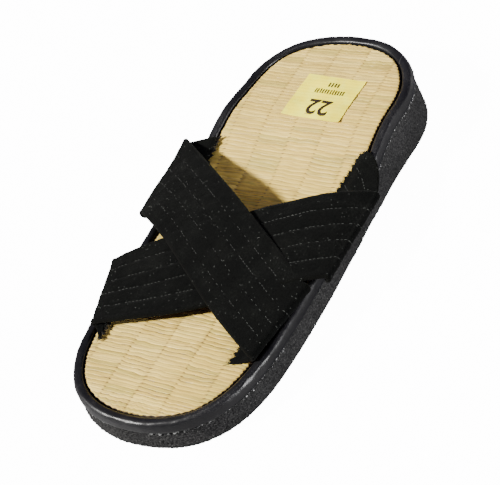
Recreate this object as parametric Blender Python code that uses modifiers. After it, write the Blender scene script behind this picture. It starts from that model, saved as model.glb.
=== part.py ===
"""A flat slip-on sandal: sponge wedge sole, rush insole, vinyl rim and two crossed cloth bands.

Frame: the sole stands on z = 0, the toe points to -Y, the heel to +Y, and the origin is on the
ground under the middle of the sandal. Sizes are in millimetres and become metres at the end.
"""

import math

import bmesh
import bpy
import numpy as np

MM = 0.001

# ---- last: the outline that the insole is cut to -------------------------------------------
INSOLE_LENGTH = 220.0
BALL_HALF_WIDTH = 43.8
WAIST_NARROWING = 2.4
WAIST_Y = 58.0
WAIST_SPREAD = 30.0
WAIST_SWING = -1.6
WAIST_SWING_Y = 18.0
WAIST_SWING_SPREAD = 28.0
HEEL_SWING = 1.8
HEEL_SWING_Y = 78.0
HEEL_SWING_SPREAD = 16.0
END_SQUARENESS = 6.0
END_ROUNDNESS = 0.455
OUTLINE_POINTS = 88

# ---- heights ---------------------------------------------------------------------------------
FOREFOOT_HEIGHT = 14.6
HEEL_RISE = 10.2
HEEL_RISE_START_Y = 17.0
HEEL_RISE_END_Y = 67.5
TOE_SPRING = 0.8
TOE_SPRING_START_Y = -80.0
INSOLE_THICKNESS = 4.6
GAP = 0.3

# ---- rim: the vinyl binding round the insole -------------------------------------------------
RIM_WIDTH = 5.4
RIM_CREST = 1.2
RIM_CREST_OFFSET = 2.8
RIM_INNER_HEIGHT = 0.1
RIM_OUTER_ROUND = RIM_WIDTH - RIM_CREST_OFFSET
RIM_INNER_ANGLES = (60, 30, 0)
RIM_OUTER_ANGLES = (25, 50, 75, 90)
RIM_FOOT_CHAMFER = 0.4

# ---- outsole ---------------------------------------------------------------------------------
SIDE_OFFSET = 4.6
TOP_EDGE_OFFSET = 4.2
GROUND_EDGE_OFFSET = 3.8
TOP_EDGE_DROP = 0.8
GROUND_EDGE_HEIGHT = 2.0
GROUND_EDGE_MIDDLE_OFFSET = 4.4
GROUND_EDGE_MIDDLE_HEIGHT = 0.5

# ---- bands -----------------------------------------------------------------------------------
BAND_THICKNESS = 1.8
RETURN_ON_INSOLE = GAP + BAND_THICKNESS / 2
RETURN_ON_RIM = RIM_CREST + GAP + BAND_THICKNESS / 2
RIDGE_FRONT = 5.4
RIDGE_REAR = 12.4
RIDGE_FRONT_Y = -62.0
RIDGE_REAR_Y = 0.0
CROSSING_LIFT = 1.45
STEP_UP_START = -5.0
STEP_UP_END = 0.5
STATIONS_ON_TOP = 30
STATIONS_ON_FOLD = 7
STATIONS_ON_RETURN = 8
POINTS_ACROSS = 9

# Each band end: the crease's rear and front corner (x, y, height of the upper layer over the insole)
# and the raw end's rear and front corner (x, y). Fullness says how steeply the band leaves each fold,
# bow how far its front edge swells towards the toe in the middle, and sway how far that edge waves.
OVER_BAND = {
    "first_crease": ((-56.1, 38.0, 4.9), (-56.1, -8.5, 4.9)),
    "first_end": ((-40.0, 43.0), (-42.5, -4.0)),
    "second_crease": ((50.0, -33.0, 6.2), (43.0, -72.5, 4.9)),
    "second_end": ((37.0, -35.5), (31.5, -75.5)),
    "fullness": (2.2, 4.0),
    "bow": 0.5,
    "sway": 1.2,
}
UNDER_BAND = {
    "first_crease": ((-53.0, -36.5, 4.9), (-42.0, -73.0, 4.9)),
    "first_end": ((-40.0, -44.0), (-35.5, -76.0)),
    "second_crease": ((56.1, 23.0, 4.9), (56.1, -28.0, 4.9)),
    "second_end": ((40.0, 43.4), (29.5, -2.0)),
    "fullness": (6.0, 4.0),
    "bow": 5.0,
    "sway": 0.0,
}


def clear_scene():
    for item in list(bpy.data.objects):
        bpy.data.objects.remove(item, do_unlink=True)


def smooth_step(value, start, end):
    share = min(max((value - start) / (end - start), 0.0), 1.0)
    return share * share * (3.0 - 2.0 * share)


def bump(value, centre, spread):
    return math.exp(-(((value - centre) / spread) ** 2))


def deck_height(y):
    """Height of the insole's upper face over the ground."""
    return FOREFOOT_HEIGHT + HEEL_RISE * smooth_step(y, HEEL_RISE_START_Y, HEEL_RISE_END_Y)


def ground_height(y):
    """Height of the outsole's lower face: flat, with a little toe spring."""
    reach = max(TOE_SPRING_START_Y - y, 0.0) / (TOE_SPRING_START_Y + INSOLE_LENGTH / 2 + RIM_WIDTH)
    return TOE_SPRING * reach * reach


def half_width(y):
    reach = min(abs(y) / (INSOLE_LENGTH / 2), 1.0)
    full = BALL_HALF_WIDTH - WAIST_NARROWING * bump(y, WAIST_Y, WAIST_SPREAD)
    return full * (1.0 - reach**END_SQUARENESS) ** END_ROUNDNESS


def swing(y):
    """Sideways shift of the outline's centre line, which gives the waist and heel their curve."""
    waist = WAIST_SWING * bump(y, WAIST_SWING_Y, WAIST_SWING_SPREAD)
    return waist + HEEL_SWING * bump(y, HEEL_SWING_Y, HEEL_SWING_SPREAD)


def outline(offset):
    """Points round the last, moved outwards by offset: toe, right side, heel, left side."""
    base = []
    for index in range(OUTLINE_POINTS):
        angle = 2.0 * math.pi * index / OUTLINE_POINTS
        y = -INSOLE_LENGTH / 2 * math.cos(angle)
        side = math.copysign(1.0, math.sin(angle)) if abs(math.sin(angle)) > 1e-9 else 0.0
        base.append((swing(y) + side * half_width(y), y))
    base = np.array(base)
    along = np.roll(base, -1, axis=0) - np.roll(base, 1, axis=0)
    along /= np.linalg.norm(along, axis=1)[:, None]
    return base + offset * np.stack([along[:, 1], -along[:, 0]], axis=1)


def new_material(name, colour, roughness, metallic=0.0):
    material = bpy.data.materials.new(name)
    material.use_nodes = True
    shader = material.node_tree.nodes["Principled BSDF"]
    shader.inputs["Base Color"].default_value = (*colour, 1.0)
    shader.inputs["Roughness"].default_value = roughness
    shader.inputs["Metallic"].default_value = metallic
    return material


def new_object(name, shape, material, collection):
    """Turns a bmesh in millimetres into an object in metres with outward faces."""
    bmesh.ops.recalc_face_normals(shape, faces=shape.faces)
    bmesh.ops.scale(shape, vec=(MM, MM, MM), verts=shape.verts)
    mesh = bpy.data.meshes.new(name)
    shape.to_mesh(mesh)
    shape.free()
    mesh.shade_smooth()
    mesh.set_sharp_from_angle(angle=math.radians(40))
    item = bpy.data.objects.new(name, mesh)
    item.data.materials.append(material)
    collection.objects.link(item)
    return item


def ring(shape, offset, height):
    """One closed ring of vertices round the last; height is a function of y."""
    return [shape.verts.new((x, y, height(y))) for x, y in outline(offset)]


def join_rings(shape, first, second):
    count = len(first)
    for i in range(count):
        j = (i + 1) % count
        shape.faces.new((first[i], first[j], second[j], second[i]))


def close_ring(shape, points):
    """Fills a ring with strips that run straight across the foot."""
    half = len(points) // 2
    shape.faces.new((points[0], points[1], points[-1]))
    for i in range(1, half - 1):
        shape.faces.new((points[i], points[i + 1], points[-i - 1], points[-i]))
    shape.faces.new((points[half - 1], points[half], points[half + 1]))


def slab(rings):
    """A closed sole layer from its rings, top to bottom."""
    shape = bmesh.new()
    made = [ring(shape, offset, height) for offset, height in rings]
    for upper, lower in zip(made, made[1:]):
        join_rings(shape, upper, lower)
    close_ring(shape, made[0])
    close_ring(shape, made[-1])
    return shape


def over_deck(extra):
    return lambda y: deck_height(y) + extra


def over_ground(extra):
    return lambda y: ground_height(y) + extra


def make_insole():
    return slab([(0.0, over_deck(0.0)), (0.0, over_deck(-INSOLE_THICKNESS))])


def make_outsole():
    top = -INSOLE_THICKNESS - GAP
    return slab(
        [
            (TOP_EDGE_OFFSET, over_deck(top)),
            (SIDE_OFFSET, over_deck(top - TOP_EDGE_DROP)),
            (SIDE_OFFSET, over_ground(GROUND_EDGE_HEIGHT)),
            (GROUND_EDGE_MIDDLE_OFFSET, over_ground(GROUND_EDGE_MIDDLE_HEIGHT)),
            (GROUND_EDGE_OFFSET, over_ground(0.0)),
        ]
    )


def rim_section():
    """The rim's closed section: inner wall, rounded crest, outer wall (offset, height over the deck)."""
    section = [(GAP, -INSOLE_THICKNESS), (GAP, RIM_INNER_HEIGHT)]
    inner = RIM_CREST_OFFSET - GAP
    rise = RIM_CREST - RIM_INNER_HEIGHT
    for angle in RIM_INNER_ANGLES:
        turn = math.radians(angle)
        offset = RIM_CREST_OFFSET - inner * math.sin(turn)
        section.append((offset, RIM_INNER_HEIGHT + rise * math.cos(turn)))
    for angle in RIM_OUTER_ANGLES:
        turn = math.radians(angle)
        offset = RIM_CREST_OFFSET + RIM_OUTER_ROUND * math.sin(turn)
        section.append((offset, RIM_CREST - RIM_OUTER_ROUND * (1.0 - math.cos(turn))))
    section.append((RIM_WIDTH, RIM_FOOT_CHAMFER - INSOLE_THICKNESS))
    section.append((RIM_WIDTH - RIM_FOOT_CHAMFER, -INSOLE_THICKNESS))
    return section


def make_rim():
    shape = bmesh.new()
    rings = [ring(shape, offset, over_deck(height)) for offset, height in rim_section()]
    for first, second in zip(rings, rings[1:] + rings[:1]):
        join_rings(shape, first, second)
    return shape


def blend(first, second, share):
    return tuple(a + (b - a) * share for a, b in zip(first, second))


def band_form(y):
    """Height of the bands' ridge over the insole: low at the front, higher towards the instep."""
    share = min(max((y - RIDGE_FRONT_Y) / (RIDGE_REAR_Y - RIDGE_FRONT_Y), 0.0), 1.0)
    return RIDGE_FRONT + (RIDGE_REAR - RIDGE_FRONT) * share


def return_height(x, y):
    """The turned-under end rests on the insole and steps up over the rim."""
    edge = abs(x - swing(y)) - half_width(y)
    step = smooth_step(edge, STEP_UP_START, STEP_UP_END)
    return deck_height(y) + RETURN_ON_INSOLE + (RETURN_ON_RIM - RETURN_ON_INSOLE) * step


def return_run(end, crease):
    """From the raw end out to the bottom of the fold."""
    outward = math.copysign(1.0, crease[0])
    radius = (crease[2] - RETURN_ON_RIM) / 2
    foot = (crease[0] - outward * radius, crease[1])
    points = []
    for i in range(STATIONS_ON_RETURN):
        x, y = blend(end, foot, i / STATIONS_ON_RETURN)
        points.append((x, y, return_height(x, y)))
    return points


def fold_run(crease):
    """The half round of the fold, from the lower layer to the upper one."""
    outward = math.copysign(1.0, crease[0])
    radius = (crease[2] - RETURN_ON_RIM) / 2
    middle = deck_height(crease[1]) + RETURN_ON_RIM + radius
    points = []
    for i in range(STATIONS_ON_FOLD):
        turn = math.pi * i / (STATIONS_ON_FOLD - 1) - math.pi / 2
        x = crease[0] - outward * radius * (1.0 - math.cos(turn))
        points.append((x, crease[1], middle + radius * math.sin(turn)))
    return points


def top_run(start, end, band, across, lift):
    """The upper layer between two folds, arched over the foot's space."""
    radius_start = (start[2] - RETURN_ON_RIM) / 2
    radius_end = (end[2] - RETURN_ON_RIM) / 2
    first = (start[0] - math.copysign(radius_start, start[0]), start[1])
    last = (end[0] - math.copysign(radius_end, end[0]), end[1])
    points = []
    for i in range(1, STATIONS_ON_TOP):
        share = i / STATIONS_ON_TOP
        x, y = blend(first, last, share)
        y -= across * band["bow"] * math.sin(math.pi * share)
        y += across * band["sway"] * math.sin(2.0 * math.pi * share)
        side = start[2] + (end[2] - start[2]) * share
        arch = 1.0 - abs(2.0 * share - 1.0) ** band["fullness"][0 if share < 0.5 else 1]
        points.append((x, y, deck_height(y) + side + (band_form(y) + lift - side) * arch))
    return points


def band_rail(band, across, lift):
    """One line along the band, at a share of its width from the rear edge to the front edge."""
    ends = {}
    for key in ("first_crease", "first_end", "second_crease", "second_end"):
        ends[key] = blend(band[key][0], band[key][1], across)
    rail = return_run(ends["first_end"], ends["first_crease"])
    rail += fold_run(ends["first_crease"])
    rail += top_run(ends["first_crease"], ends["second_crease"], band, across, lift)
    rail += fold_run(ends["second_crease"])[::-1]
    rail += return_run(ends["second_end"], ends["second_crease"])[::-1]
    return rail


def make_band(name, band, lift, material, collection):
    shape = bmesh.new()
    rails = []
    for k in range(POINTS_ACROSS):
        share = k / (POINTS_ACROSS - 1)
        rails.append([shape.verts.new(p) for p in band_rail(band, share, lift)])
    for first, second in zip(rails, rails[1:]):
        for i in range(len(first) - 1):
            shape.faces.new((first[i], first[i + 1], second[i + 1], second[i]))
    item = new_object(name, shape, material, collection)
    wall = item.modifiers.new("wall", "SOLIDIFY")
    wall.thickness = BAND_THICKNESS * MM
    wall.offset = 0.0
    wall.use_even_offset = True
    return item


def settle(item):
    """Applies an object's modifiers by putting its evaluated mesh in their place."""
    graph = bpy.context.evaluated_depsgraph_get()
    mesh = bpy.data.meshes.new_from_object(item.evaluated_get(graph))
    item.modifiers.clear()
    item.data = mesh
    return item


def make_upper(material, collection, cutters):
    """Two crossed bands joined into one solid."""
    upper = make_band("upper", OVER_BAND, CROSSING_LIFT, material, collection)
    under = make_band("under_band", UNDER_BAND, 0.0, material, cutters)
    settle(upper)
    settle(under)
    join = upper.modifiers.new("join", "BOOLEAN")
    join.operation = "UNION"
    join.solver = "EXACT"
    join.object = under
    under.hide_render = True
    under.display_type = "WIRE"
    return upper


def main():
    clear_scene()
    scene = bpy.context.scene.collection
    sandal = bpy.data.collections.new("zori_sandal")
    cutters = bpy.data.collections.new("cutters")
    scene.children.link(sandal)
    scene.children.link(cutters)
    sponge = new_material("sponge_rubber", (0.03, 0.03, 0.032), 0.9)
    vinyl = new_material("vinyl_rim", (0.015, 0.015, 0.017), 0.35)
    rush = new_material("woven_rush", (0.72, 0.6, 0.36), 0.7)
    velvet = new_material("black_velvet", (0.01, 0.01, 0.01), 0.95)
    new_object("outsole", make_outsole(), sponge, sandal)
    new_object("rim", make_rim(), vinyl, sandal)
    new_object("insole", make_insole(), rush, sandal)
    make_upper(velvet, sandal, cutters)


main()
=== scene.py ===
import math

import bmesh
import bpy
import numpy as np
from mathutils import Matrix, Vector


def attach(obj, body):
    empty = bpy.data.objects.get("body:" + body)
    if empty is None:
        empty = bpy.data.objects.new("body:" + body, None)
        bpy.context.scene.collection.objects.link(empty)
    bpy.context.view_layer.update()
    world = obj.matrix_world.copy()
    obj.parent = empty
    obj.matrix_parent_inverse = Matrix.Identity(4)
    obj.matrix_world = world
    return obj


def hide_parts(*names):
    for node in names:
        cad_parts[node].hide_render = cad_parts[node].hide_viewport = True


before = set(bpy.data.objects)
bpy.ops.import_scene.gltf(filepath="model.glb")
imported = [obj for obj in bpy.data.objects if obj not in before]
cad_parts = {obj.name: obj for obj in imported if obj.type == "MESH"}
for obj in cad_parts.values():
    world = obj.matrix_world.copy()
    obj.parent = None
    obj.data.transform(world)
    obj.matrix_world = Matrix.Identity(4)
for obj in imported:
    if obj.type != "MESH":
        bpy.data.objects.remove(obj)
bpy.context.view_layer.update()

mm = 0.001
turn = 2.0 * math.pi
tiny = 1e-12  # keeps a length of nothing from dividing by nothing
wavePace = (0.55, 1.5)  # how unlike the waves of one field are
tubeGuide = (0.31, 0.17, 0.94)  # a direction that no tube runs along


def unit(vectors):
    return vectors / (np.linalg.norm(vectors, axis=-1, keepdims=True) + tiny)


def smoothStep(value, start, end):
    share = np.clip((value - start) / (end - start), 0.0, 1.0)
    return share * share * (3.0 - 2.0 * share)


def hill(value, centre, spread):
    return np.exp(-(((value - centre) / spread) ** 2))


def waves(points, seed, size, count=26):
    # a smooth random field, about one unit high, whose bumps are about size wide
    draw = np.random.default_rng(seed)
    heading = unit(draw.normal(size=(count, 3)))
    pace = turn / size * draw.uniform(*wavePace, count)
    phase = draw.uniform(0.0, turn, count)
    flat = points.reshape(-1, 3)
    total = np.sin(flat @ (heading * pace[:, None]).T + phase).sum(axis=1)
    return (total * math.sqrt(2.0 / count)).reshape(points.shape[:-1])


def bumps(points, seed, layers):
    # random fields added up; each layer is the height and the width of its bumps
    return sum(height * waves(points, seed + k, size) for k, (height, size) in enumerate(layers))


def makePiece(name, points, faces, material, replaced=(), marks=None, sharp=50.0):
    # points in millimetres; marks are named values, one for each point; sharp is an angle in degrees
    mesh = bpy.data.meshes.new(name)
    mesh.from_pydata((np.asarray(points) * mm).tolist(), [], faces)
    for label, values in (marks or {}).items():
        mesh.attributes.new(label, "FLOAT", "POINT").data.foreach_set("value", np.asarray(values, np.float32))
    shape = bmesh.new()
    shape.from_mesh(mesh)
    bmesh.ops.recalc_face_normals(shape, faces=shape.faces)
    shape.to_mesh(mesh)
    shape.free()
    mesh.shade_smooth()
    mesh.set_sharp_from_angle(angle=math.radians(sharp))
    piece = bpy.data.objects.new(name, mesh)
    piece.data.materials.append(material)
    bpy.context.scene.collection.objects.link(piece)
    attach(piece, "root")
    if replaced:
        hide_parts(*replaced)
    print(name, len(points), "points,", len(faces), "faces")


def gridFaces(index, wrap=False):
    # quads between neighbouring rows and columns of an index grid
    a, b = index[:-1], index[1:]
    if wrap:
        nextA, nextB = np.roll(a, -1, axis=1), np.roll(b, -1, axis=1)
    else:
        a, nextA, b, nextB = a[:, :-1], a[:, 1:], b[:, :-1], b[:, 1:]
    return np.stack([a, nextA, nextB, b], axis=-1).reshape(-1, 4).tolist()


def rimOf(index):
    # the outer ring of an index grid, once round
    return np.concatenate([index[0], index[1:, -1], index[-1][-2::-1], index[-2:0:-1, 0]])


def indexGrid(points, start=0):
    return start + np.arange(points[..., 0].size).reshape(points.shape[:-1])


def tube(path, radii, sides, start):
    # a closed tube along a short path: its points and faces
    path = np.asarray(path, float)
    along = unit(np.gradient(path, axis=0))
    aside = unit(np.cross(along, tubeGuide))
    other = np.cross(along, aside)
    angle = turn * np.arange(sides) / sides
    ring = np.cos(angle)[None, :, None] * aside[:, None] + np.sin(angle)[None, :, None] * other[:, None]
    points = path[:, None] + ring * np.asarray(radii)[:, None, None]
    index = indexGrid(points, start)
    faces = gridFaces(index, wrap=True)
    faces.append(index[0][::-1].tolist())
    faces.append(index[-1].tolist())
    return points.reshape(-1, 3), faces


def joinTubes(items, sides):
    points, faces, count = [], [], 0
    for path, radii in items:
        made, quads = tube(path, radii, sides, count)
        points.append(made)
        faces += quads
        count += len(made)
    return np.concatenate(points), faces


def addNode(tree, kind, **settings):
    made = tree.nodes.new(kind)
    for key, value in settings.items():
        setattr(made, key, value)
    return made


def feed(source, node, socket):
    # joins an output to an input, or sets the input where source is a plain value
    target = node.inputs[socket]
    if isinstance(source, bpy.types.NodeSocket):
        node.id_data.links.new(source, target)
    else:
        target.default_value = source


def calc(operation, first, second=0.0, clamp=False):
    made = addNode(first.id_data, "ShaderNodeMath", operation=operation, use_clamp=clamp)
    feed(first, made, 0)
    feed(second, made, 1)
    return made.outputs[0]


def times(first, second, clamp=False):
    return calc("MULTIPLY", first, second, clamp)


def mixColour(share, first, second):
    # a colour is an output or three numbers; inputs 6 and 7 of this node are its colours
    made = addNode(share.id_data, "ShaderNodeMix", data_type="RGBA")
    feed(share, made, 0)
    for socket, colour in ((6, first), (7, second)):
        feed((*colour, 1.0) if isinstance(colour, tuple) else colour, made, socket)
    return made.outputs[2]


def spread(source, low, high, outLow=0.0, outHigh=1.0):
    made = addNode(source.id_data, "ShaderNodeMapRange", interpolation_type="SMOOTHSTEP")
    values = (source, low, high, outLow, outHigh)
    for socket, value in zip(("Value", "From Min", "From Max", "To Min", "To Max"), values):
        feed(value, made, socket)
    return made.outputs[0]


def noise(place, scale, detail=3.0, roughness=0.55):
    made = addNode(place.id_data, "ShaderNodeTexNoise")
    feed(place, made, "Vector")
    feed(scale, made, "Scale")
    made.inputs["Detail"].default_value = detail
    made.inputs["Roughness"].default_value = roughness
    return made.outputs["Fac"]


def stretchedNoise(place, scales, detail, roughness):
    made = addNode(place.id_data, "ShaderNodeMapping")
    feed(place, made, "Vector")
    made.inputs["Scale"].default_value = scales
    return noise(made.outputs["Vector"], 1.0, detail, roughness)


def objectPlace(tree):
    return addNode(tree, "ShaderNodeTexCoord").outputs["Object"]


def marked(tree, name):
    return addNode(tree, "ShaderNodeAttribute", attribute_name=name).outputs["Fac"]


def newGroup(name, inputs, outputs):
    # numbers come in and go out under their names; a tuple is a colour
    tree = bpy.data.node_groups.new(name, "ShaderNodeTree")
    for label, value in inputs.items():
        kind = "NodeSocketColor" if isinstance(value, tuple) else "NodeSocketFloat"
        socket = tree.interface.new_socket(name=label, in_out="INPUT", socket_type=kind)
        socket.default_value = value
    for label in outputs:
        kind = "NodeSocketColor" if label == "Color" else "NodeSocketFloat"
        tree.interface.new_socket(name=label, in_out="OUTPUT", socket_type=kind)
    return tree, addNode(tree, "NodeGroupInput").outputs, addNode(tree, "NodeGroupOutput")


def useGroup(tree, group, **values):
    made = addNode(tree, "ShaderNodeGroup", node_tree=group)
    for label, value in values.items():
        feed(value, made, label)
    return made.outputs


grainShape = {
    "dome": (0.0, 0.75, 1.0, 0.0), "fine": (3.0, 0.65), "domeShare": 0.6, "fineShare": 0.55,
    "speckBand": (0.52, 0.72), "speckPlace": (0.35, 0.9),
}
dustShape = {
    "patch": (4.0, 0.6), "patchBand": (0.42, 0.75), "fine": (2200.0, 2.0, 0.6), "fineBand": (0.45, 0.7),
    "upward": (0.0, 0.9),
}
scuffShape = {
    "lines": (((700.0, 45.0, 260.0), (0.64, 0.74)), ((60.0, 620.0, 300.0), (0.66, 0.76))),
    "lineDetail": (3.0, 0.6), "patch": (38.0, 2.0, 0.5), "patchBand": (0.45, 0.7),
}
driftShape = {"detail": (3.0, 0.5), "band": (0.3, 0.7)}


def buildGrain():
    # small rounded grains with pits between them
    tree, given, result = newGroup("rubberGrain", {"Size": 900.0, "Fine": 2600.0}, ("Height", "Specks"))
    place = objectPlace(tree)
    cells = addNode(tree, "ShaderNodeTexVoronoi", feature="F1")
    feed(place, cells, "Vector")
    feed(given["Size"], cells, "Scale")
    dome = spread(cells.outputs["Distance"], *grainShape["dome"])
    fine = noise(place, given["Fine"], *grainShape["fine"])
    height = calc("ADD", times(dome, grainShape["domeShare"]), times(fine, grainShape["fineShare"]))
    feed(height, result, "Height")
    specks = times(spread(fine, *grainShape["speckBand"]), spread(dome, *grainShape["speckPlace"]))
    feed(specks, result, "Specks")
    return tree


def buildDust():
    # pale dust that settles on faces that look up, in soft patches
    tree, given, result = newGroup("settledDust", {"Size": 60.0, "Amount": 0.5}, ("Mask",))
    place = objectPlace(tree)
    patch = spread(noise(place, given["Size"], *dustShape["patch"]), *dustShape["patchBand"])
    fine = spread(noise(place, *dustShape["fine"]), *dustShape["fineBand"])
    facing = addNode(tree, "ShaderNodeSeparateXYZ")
    feed(addNode(tree, "ShaderNodeNewGeometry").outputs["Normal"], facing, 0)
    upward = spread(facing.outputs["Z"], *dustShape["upward"])
    feed(times(times(patch, fine), times(upward, given["Amount"])), result, "Mask")
    return tree


def buildScuffs():
    # thin scratches in two directions, only within a few patches
    tree, given, result = newGroup("lightScuffs", {"Amount": 0.5}, ("Mask",))
    place = objectPlace(tree)
    first, second = (
        spread(stretchedNoise(place, scales, *scuffShape["lineDetail"]), *band)
        for scales, band in scuffShape["lines"]
    )
    patch = spread(noise(place, *scuffShape["patch"]), *scuffShape["patchBand"])
    lines = times(calc("MAXIMUM", first, second), patch)
    feed(times(lines, given["Amount"], True), result, "Mask")
    return tree


def buildTone():
    # slow change of lightness over a surface
    values = {"Color": (0.5, 0.5, 0.5, 1.0), "Size": 40.0, "Low": 0.9, "High": 1.1}
    tree, given, result = newGroup("toneDrift", values, ("Color",))
    slow = noise(objectPlace(tree), given["Size"], *driftShape["detail"])
    drift = spread(slow, *driftShape["band"], given["Low"], given["High"])
    toned = addNode(tree, "ShaderNodeMix", data_type="RGBA", blend_type="MULTIPLY")
    grey = addNode(tree, "ShaderNodeCombineColor")
    for channel in range(3):
        feed(drift, grey, channel)
    for socket, source in ((0, 1.0), (6, given["Color"]), (7, grey.outputs[0])):
        feed(source, toned, socket)
    feed(toned.outputs[2], result, "Color")
    return tree


grainGroup, dustGroup, scuffGroup, toneGroup = buildGrain(), buildDust(), buildScuffs(), buildTone()


def startMaterial(name, plain):
    material = bpy.data.materials.new(name)
    material.use_nodes = True
    tree = material.node_tree
    shader = tree.nodes["Principled BSDF"]
    for label, value in plain.items():
        shader.inputs[label].default_value = value
    return material, tree, shader, objectPlace(tree)


def setFinish(shader, base, drift, rough, height, depth, strength=1.0):
    # colour with a slow drift of lightness, roughness, and fine relief
    tree = shader.id_data
    if drift:
        size, low, high = drift
        base = useGroup(tree, toneGroup, Color=base, Size=size, Low=low, High=high)["Color"]
    feed(base, shader, "Base Color")
    feed(rough, shader, "Roughness")
    made = addNode(tree, "ShaderNodeBump")
    made.inputs["Distance"].default_value = depth
    made.inputs["Strength"].default_value = strength
    feed(height, made, "Height")
    feed(made.outputs["Normal"], shader, "Normal")


# a noise is its three scales, detail and roughness; a band is a range of input and, if given, of output
rushLook = {
    "plain": {"Specular IOR Level": 0.35, "Sheen Weight": 0.08},
    "straw": (0.64, 0.445, 0.082), "pale": (0.79, 0.58, 0.145), "green": (0.46, 0.37, 0.075),
    "shade": (0.19, 0.092, 0.015), "line": (0.070, 0.033, 0.008), "dash": (0.11, 0.052, 0.012),
    # the cut edge colour: partly the dark cut stems, partly painted shade where the mat meets the rim
    "edge": (0.035, 0.020, 0.006),
    "fibre": ((90.0, 3200.0, 900.0), 4.0, 0.6), "mottle": ((60.0, 420.0, 200.0), 2.0, 0.5),
    "stems": ((45.0, 2100.0, 300.0), 2.0, 0.5), "gaps": ((130.0, 900.0, 300.0), 2.0, 0.5),
    "streak": ((260.0, 1900.0, 400.0), 1.0, 0.4),
    "greenTone": (0.0, -0.5, 0.0, 0.55), "greenMottle": (0.56, 0.75, 0.0, 0.45),
    "stemShade": (0.46, 0.68, 0.0, 0.42), "fibreShade": (0.5, 0.72, 0.0, 0.30),
    "lineBand": (0.34, 0.90, 0.0, 0.95), "lineGaps": (0.36, 0.6, 0.20, 1.0),
    "warpBand": (0.12, 0.55, 0.0, 0.85), "dashBand": (0.66, 0.75), "dashPlace": (0.3, 0.8), "dashShare": 0.75,
    "cutEdgeShadeBand": (0.15, 0.6), "drift": (34.0, 0.95, 1.04), "rough": (0.3, 0.8, 0.5, 0.72), "depth": 0.00009,
}


def makeRush():
    look = rushLook
    material, tree, shader, place = startMaterial("wovenRush", look["plain"])
    # the stem tone mark holds the stems' own lightness and also painted shade at the waist
    tone, valley, cutEdgeAndShade, warp = (marked(tree, name) for name in ("stemToneAndShade", "valley", "cutEdgeAndShade", "warp"))
    fibre, mottle, stems, gaps, streak = (
        stretchedNoise(place, *look[key]) for key in ("fibre", "mottle", "stems", "gaps", "streak")
    )
    line = times(spread(valley, *look["lineBand"]), spread(gaps, *look["lineGaps"]))
    dash = times(spread(streak, *look["dashBand"]), spread(valley, *look["dashPlace"]))
    base = mixColour(spread(tone, 0.0, 1.0), look["straw"], look["pale"])
    for mask, colour in (
        (spread(tone, *look["greenTone"]), "green"),
        (spread(stems, *look["stemShade"]), "shade"),
        (spread(mottle, *look["greenMottle"]), "green"),
        (spread(fibre, *look["fibreShade"]), "shade"),
        (line, "line"),
        (spread(warp, *look["warpBand"]), "dash"),
        (times(dash, look["dashShare"]), "dash"),
        # the cut edge and side wall: partly their own dark colour, partly painted shade beside the rim
        (spread(cutEdgeAndShade, *look["cutEdgeShadeBand"]), "edge"),
    ):
        base = mixColour(mask, base, look[colour])
    setFinish(shader, base, look["drift"], spread(fibre, *look["rough"]), fibre, look["depth"])
    return material


vinylLook = {
    "plain": {"Specular IOR Level": 0.26},
    "base": (0.0060, 0.0060, 0.0066), "dust": (0.07, 0.068, 0.064), "scuff": (0.05, 0.05, 0.05),
    "grain": {"Size": 1500.0, "Fine": 3600.0}, "dusting": {"Size": 55.0, "Amount": 0.5}, "scuffing": 0.55,
    "drift": (70.0, 0.85, 1.2), "wear": (120.0, 3.0), "rough": (0.3, 0.7, 0.30, 0.40), "scuffRough": 0.25,
    "depth": 0.000045,
}


def makeVinyl():
    look = vinylLook
    material, tree, shader, place = startMaterial("vinylRim", look["plain"])
    grain = useGroup(tree, grainGroup, **look["grain"])
    scuff = useGroup(tree, scuffGroup, Amount=look["scuffing"])["Mask"]
    base = mixColour(useGroup(tree, dustGroup, **look["dusting"])["Mask"], look["base"], look["dust"])
    base = mixColour(scuff, base, look["scuff"])
    rough = spread(noise(place, *look["wear"]), *look["rough"])
    rough = calc("ADD", rough, times(scuff, look["scuffRough"]))
    setFinish(shader, base, look["drift"], rough, grain["Height"], look["depth"])
    return material


spongeLook = {
    "plain": {"Specular IOR Level": 0.15},
    "pit": (0.005, 0.005, 0.0053), "grainTop": (0.030, 0.0298, 0.0292), "speck": (0.13, 0.128, 0.122),
    "dust": (0.065, 0.062, 0.058), "speckShare": 0.85,
    "grain": {"Size": 850.0, "Fine": 2300.0}, "dusting": {"Size": 45.0, "Amount": 0.6},
    "cells": (1150.0, 4.0, 0.7), "cellBand": (0.36, 0.66), "drift": (50.0, 0.82, 1.2),
    "rough": (0.3, 0.7, 0.72, 0.95), "depth": 0.00042,
}


def makeSponge():
    look = spongeLook
    material, tree, shader, place = startMaterial("spongeRubber", look["plain"])
    grain = useGroup(tree, grainGroup, **look["grain"])
    cells = noise(place, *look["cells"])
    base = mixColour(spread(cells, *look["cellBand"]), look["pit"], look["grainTop"])
    base = mixColour(times(grain["Specks"], look["speckShare"]), base, look["speck"])
    base = mixColour(useGroup(tree, dustGroup, **look["dusting"])["Mask"], base, look["dust"])
    setFinish(shader, base, look["drift"], spread(cells, *look["rough"]), grain["Height"], look["depth"])
    return material


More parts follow.
